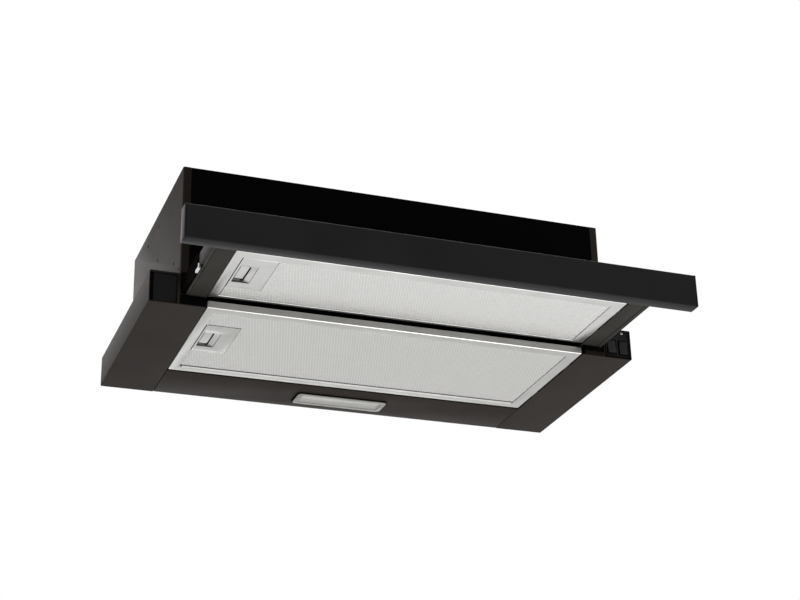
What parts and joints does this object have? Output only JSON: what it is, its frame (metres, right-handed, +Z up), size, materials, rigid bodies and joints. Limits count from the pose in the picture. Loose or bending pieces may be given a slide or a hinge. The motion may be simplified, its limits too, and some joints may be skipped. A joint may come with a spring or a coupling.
{
  "type": "pull out range hood",
  "caption": "Slim pull out cooker hood for a wall cabinet, with a sliding filter drawer behind a full width facade bar, rocker switches, a lamp and a top duct outlet.",
  "frame": {"origin": "mid width on the hood's front plane, in the plane of the wings' tops, where the cabinet's underside bears", "axes": "+X to the hood's right as its user faces it, +Y to the rear wall, +Z up"},
  "size_m": [0.598, 0.4354, 0.205],
  "materials": {
    "satin_black": "satin powder coat",
    "gloss_black": "high gloss",
    "facade_black": "satin",
    "black_plastic": "fine grained",
    "filter_aluminium": "rolled, satin",
    "mesh_aluminium": "expanded mesh",
    "zinc_steel": "zinc plated",
    "white_plastic": "satin",
    "lamp_lens": "frosted",
    "circuit_board": "solder resist",
    "grey_plastic": "moulded"
  },
  "bodies": {
    "hood_body": {"upper_shell": "satin_black", "top_panel": "satin_black", "left_wing": "satin_black", "right_wing": "satin_black", "rear_strip": "satin_black", "front_panel": "gloss_black", "left_wing_cap": "black_plastic", "switch_housing": "black_plastic", "outlet_collar": "black_plastic", "scroll_left": "black_plastic", "scroll_right": "black_plastic", "terminal_box": "black_plastic", "terminal_lid": "black_plastic", "cable_gland": "black_plastic", "lamp_driver": "black_plastic", "left_slide_outer": "zinc_steel", "right_slide_outer": "zinc_steel", "flap_pin": "zinc_steel", "motor": "zinc_steel", "motor_bracket": "zinc_steel", "capacitor_clip": "zinc_steel", "lamp_frame": "white_plastic", "capacitor": "white_plastic", "lamp_lens": "lamp_lens", "led_board": "circuit_board"},
    "drawer": {"drawer_frame": "satin_black", "facade": "facade_black", "facade_cap_left": "facade_black", "facade_cap_right": "facade_black", "left_slide_inner": "zinc_steel", "right_slide_inner": "zinc_steel"},
    "left_slide_middle": {"left_slide_middle": "zinc_steel"},
    "right_slide_middle": {"right_slide_middle": "zinc_steel"},
    "fixed_filter": {"fixed_filter_frame": "filter_aluminium", "fixed_filter_mesh": "mesh_aluminium", "fixed_filter_cup": "filter_aluminium"},
    "fixed_filter_latch": {"fixed_filter_latch": "filter_aluminium"},
    "drawer_filter": {"drawer_filter_frame": "filter_aluminium", "drawer_filter_mesh": "mesh_aluminium", "drawer_filter_cup": "filter_aluminium"},
    "drawer_filter_latch": {"drawer_filter_latch": "filter_aluminium"},
    "rotor": {"impeller": "grey_plastic", "motor_shaft": "zinc_steel"},
    "front_flap": {"front_flap": "black_plastic"},
    "rear_flap": {"rear_flap": "black_plastic"},
    "light_rocker": {"light_rocker": "black_plastic"},
    "speed_rocker": {"speed_rocker": "black_plastic"}
  },
  "joints": [
    {"name": "drawer_slide", "type": "slide", "parent": "hood_body", "child": "drawer", "axis": [0, 1, 0], "range_m": [0, 0.148]},
    {"name": "left_middle_slide", "type": "slide", "parent": "hood_body", "child": "left_slide_middle", "axis": [0, 1, 0], "range_m": [0, 0.074]},
    {"name": "right_middle_slide", "type": "slide", "parent": "hood_body", "child": "right_slide_middle", "axis": [0, 1, 0], "range_m": [0, 0.074]},
    {"name": "fixed_filter_tilt", "type": "hinge", "parent": "hood_body", "child": "fixed_filter", "pos_m": [0.2332, 0.095, -0.03745], "axis": [0, -1, 0], "range_deg": [0, 25]},
    {"name": "fixed_latch_slide", "type": "slide", "parent": "fixed_filter", "child": "fixed_filter_latch", "axis": [1, 0, 0], "range_m": [0, 0.007], "stiffness_N_per_m": 120},
    {"name": "drawer_filter_tilt", "type": "hinge", "parent": "drawer", "child": "drawer_filter", "pos_m": [0.233, -0.0627, -0.02395], "axis": [0, -1, 0], "range_deg": [0, 25]},
    {"name": "drawer_latch_slide", "type": "slide", "parent": "drawer_filter", "child": "drawer_filter_latch", "axis": [1, 0, 0], "range_m": [0, 0.007], "stiffness_N_per_m": 120},
    {"name": "impeller_spin", "type": "hinge", "parent": "hood_body", "child": "rotor", "pos_m": [0, 0.126, 0.0694], "axis": [1, 0, 0], "continuous": true},
    {"name": "front_flap_swing", "type": "hinge", "parent": "hood_body", "child": "front_flap", "pos_m": [0, 0.14, 0.1484], "axis": [-1, 0, 0], "range_deg": [0, 75]},
    {"name": "rear_flap_swing", "type": "hinge", "parent": "hood_body", "child": "rear_flap", "pos_m": [0, 0.14, 0.1484], "axis": [1, 0, 0], "range_deg": [0, 75]},
    {"name": "light_rocker_tip", "type": "hinge", "parent": "hood_body", "child": "light_rocker", "pos_m": [0.2738, 0.0058, -0.0231], "axis": [1, 0, 0], "range_deg": [0, 16]},
    {"name": "speed_rocker_tip", "type": "hinge", "parent": "hood_body", "child": "speed_rocker", "pos_m": [0.2894, 0.0058, -0.0231], "axis": [1, 0, 0], "range_deg": [-8, 8]}
  ],
  "couplings": [
    {"joint": "left_middle_slide", "follows": "drawer_slide", "ratio": 0.5},
    {"joint": "right_middle_slide", "follows": "drawer_slide", "ratio": 0.5}
  ]
}
